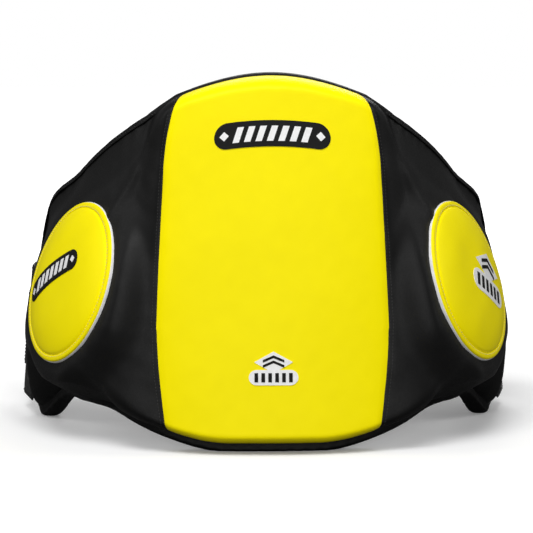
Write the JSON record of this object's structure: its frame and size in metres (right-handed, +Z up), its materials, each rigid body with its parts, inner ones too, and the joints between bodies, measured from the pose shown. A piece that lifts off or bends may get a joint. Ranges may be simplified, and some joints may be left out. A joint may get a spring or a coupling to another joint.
{
  "type": "belly kick shield",
  "caption": "Thick curved foam pad that wraps the trainer's abdomen to take kicks and knees, with round raised target patches and a ring-and-strap waist belt.",
  "frame": {"origin": "on the ground under the middle of the object's bounding box, standing on its front apron and rear wing tips", "axes": "+Z up, -Y out of the striking face, +X to the right as seen by the striker, across both wings"},
  "size_m": [0.5628, 0.4352, 0.3946],
  "materials": {
    "foam_grey": "closed-cell foam, matt",
    "lining_black": "matt woven lining with a soft hand",
    "cover_yellow": "smooth synthetic leather, semi-gloss",
    "cover_black": "smooth synthetic leather, satin",
    "tape_black": "folded binding tape, satin",
    "welt_white": "white piping edge",
    "emblem_print": "thin black and white print",
    "hook_and_loop_black": "hook and loop pile, matt",
    "steel_bright": "nickel-plated steel",
    "webbing_black": "woven webbing",
    "elastic_black": "ribbed woven elastic"
  },
  "bodies": {
    "pad": {"anchor_rivets_left": "steel_bright", "anchor_rivets_right": "steel_bright", "belt_anchor_left": "cover_black", "belt_anchor_right": "cover_black", "bottom_binding": "tape_black", "centre_foam_inner": "foam_grey", "centre_foam_outer": "foam_grey", "end_binding_left": "tape_black", "end_binding_right": "tape_black", "front_cover_panel": "cover_yellow", "lining_centre": "lining_black", "lining_left": "lining_black", "lining_right": "lining_black", "lower_emblem": "emblem_print", "patch_badge_left": "emblem_print", "patch_badge_right": "emblem_print", "patch_cover_left": "cover_yellow", "patch_cover_right": "cover_yellow", "patch_foam_left": "foam_grey", "patch_foam_right": "foam_grey", "patch_welt_left": "welt_white", "patch_welt_right": "welt_white", "side_cover_left": "cover_black", "side_cover_right": "cover_black", "top_binding": "tape_black", "upper_emblem": "emblem_print", "wing_foam_inner_left": "foam_grey", "wing_foam_inner_right": "foam_grey", "wing_foam_outer_left": "foam_grey", "wing_foam_outer_right": "foam_grey"},
    "ring_side_belt": {"ring_belt": "cover_black", "ring_loop": "webbing_black"},
    "ring": {"steel_ring": "steel_bright"},
    "strap_side_belt": {"strap_belt": "elastic_black", "loop_field": "hook_and_loop_black"},
    "tongue": {"strap_tongue": "cover_black", "hook_field": "hook_and_loop_black"}
  },
  "joints": [
    {"name": "ring_belt_fold", "type": "hinge", "parent": "pad", "child": "ring_side_belt", "pos_m": [-0.27556, 0.05698, 0], "axis": [0.0764, 0.0178, 0.9969], "range_deg": [-10, 75]},
    {"name": "strap_belt_fold", "type": "hinge", "parent": "pad", "child": "strap_side_belt", "pos_m": [0.27556, 0.05698, 0], "axis": [0.0764, -0.0178, -0.9969], "range_deg": [-10, 75]},
    {"name": "ring_swing", "type": "hinge", "parent": "ring_side_belt", "child": "ring", "pos_m": [-0.27981, 0.12768, -0.00094], "axis": [0.0764, 0.0178, 0.9969], "range_deg": [-80, 80]},
    {"name": "tongue_peel", "type": "hinge", "parent": "strap_side_belt", "child": "tongue", "pos_m": [0.17612, 0.2131, -0.01041], "axis": [-0.0764, 0.0178, 0.9969], "range_deg": [0, 175]}
  ]
}
